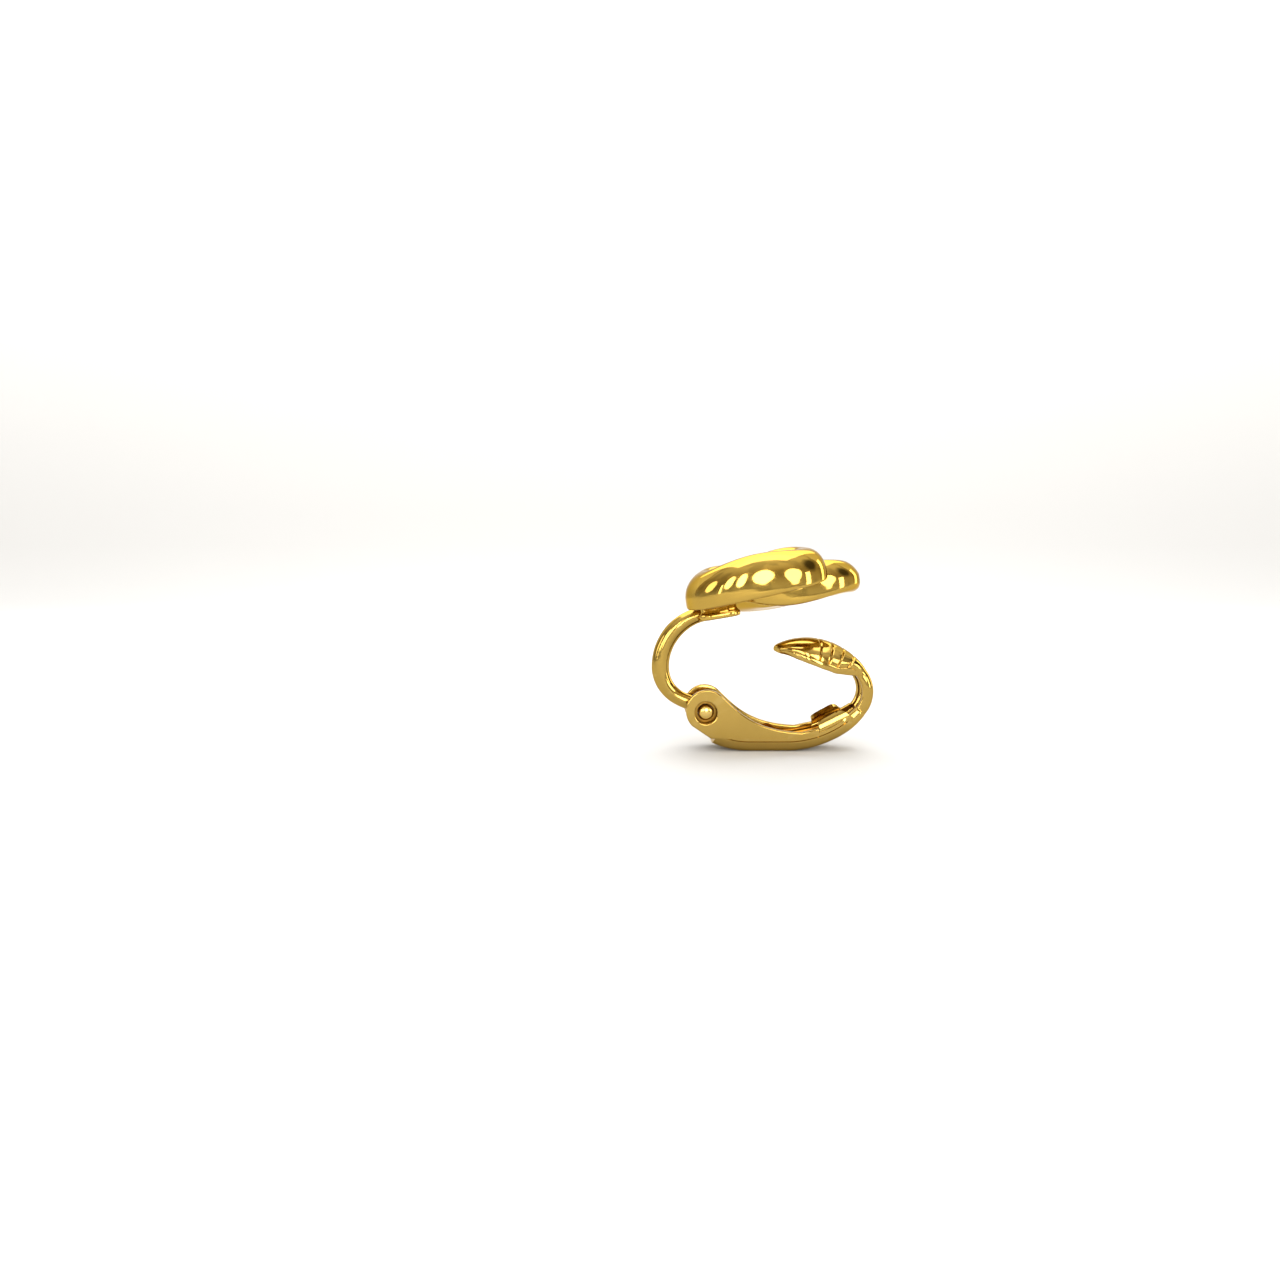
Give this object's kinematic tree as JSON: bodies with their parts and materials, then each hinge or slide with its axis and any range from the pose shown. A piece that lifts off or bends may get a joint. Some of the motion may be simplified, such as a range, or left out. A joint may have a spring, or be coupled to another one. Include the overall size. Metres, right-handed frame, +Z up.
{
  "type": "clip-on earring",
  "caption": "Clip-on earring: a polished cast ornament of two interlaced links on a wire hoop, with a hinged, spring-held lever and domed ribbed paddle that grips the earlobe.",
  "frame": {"origin": "centre of the bounding box's footprint, on the surface that the flat strip of the lever's back stands on", "axes": "+X from the hoop and hinge towards the bend of the lever, +Y across the clip, +Z up towards the ornament"},
  "size_m": [0.02, 0.0152, 0.0183],
  "materials": {
    "cast_gold": "mirror-polished yellow gold plate on a casting",
    "pin_gold": "polished gold-plated pin with lightly domed ends",
    "stamped_gold": "polished gold-plated stamped sheet",
    "spring_gold": "gold-plated leaf spring, slightly duller than the rest"
  },
  "bodies": {
    "front": {"ornament_with_hoop": "cast_gold", "hinge_pin": "pin_gold"},
    "lever": {"paddle_lever": "stamped_gold", "leaf_spring": "spring_gold"}
  },
  "joints": [
    {"name": "clip_hinge", "type": "hinge", "parent": "front", "child": "lever", "pos_m": [-0.00518, 0, 0.00355], "axis": [0, 1, 0], "range_deg": [0, 105]}
  ]
}
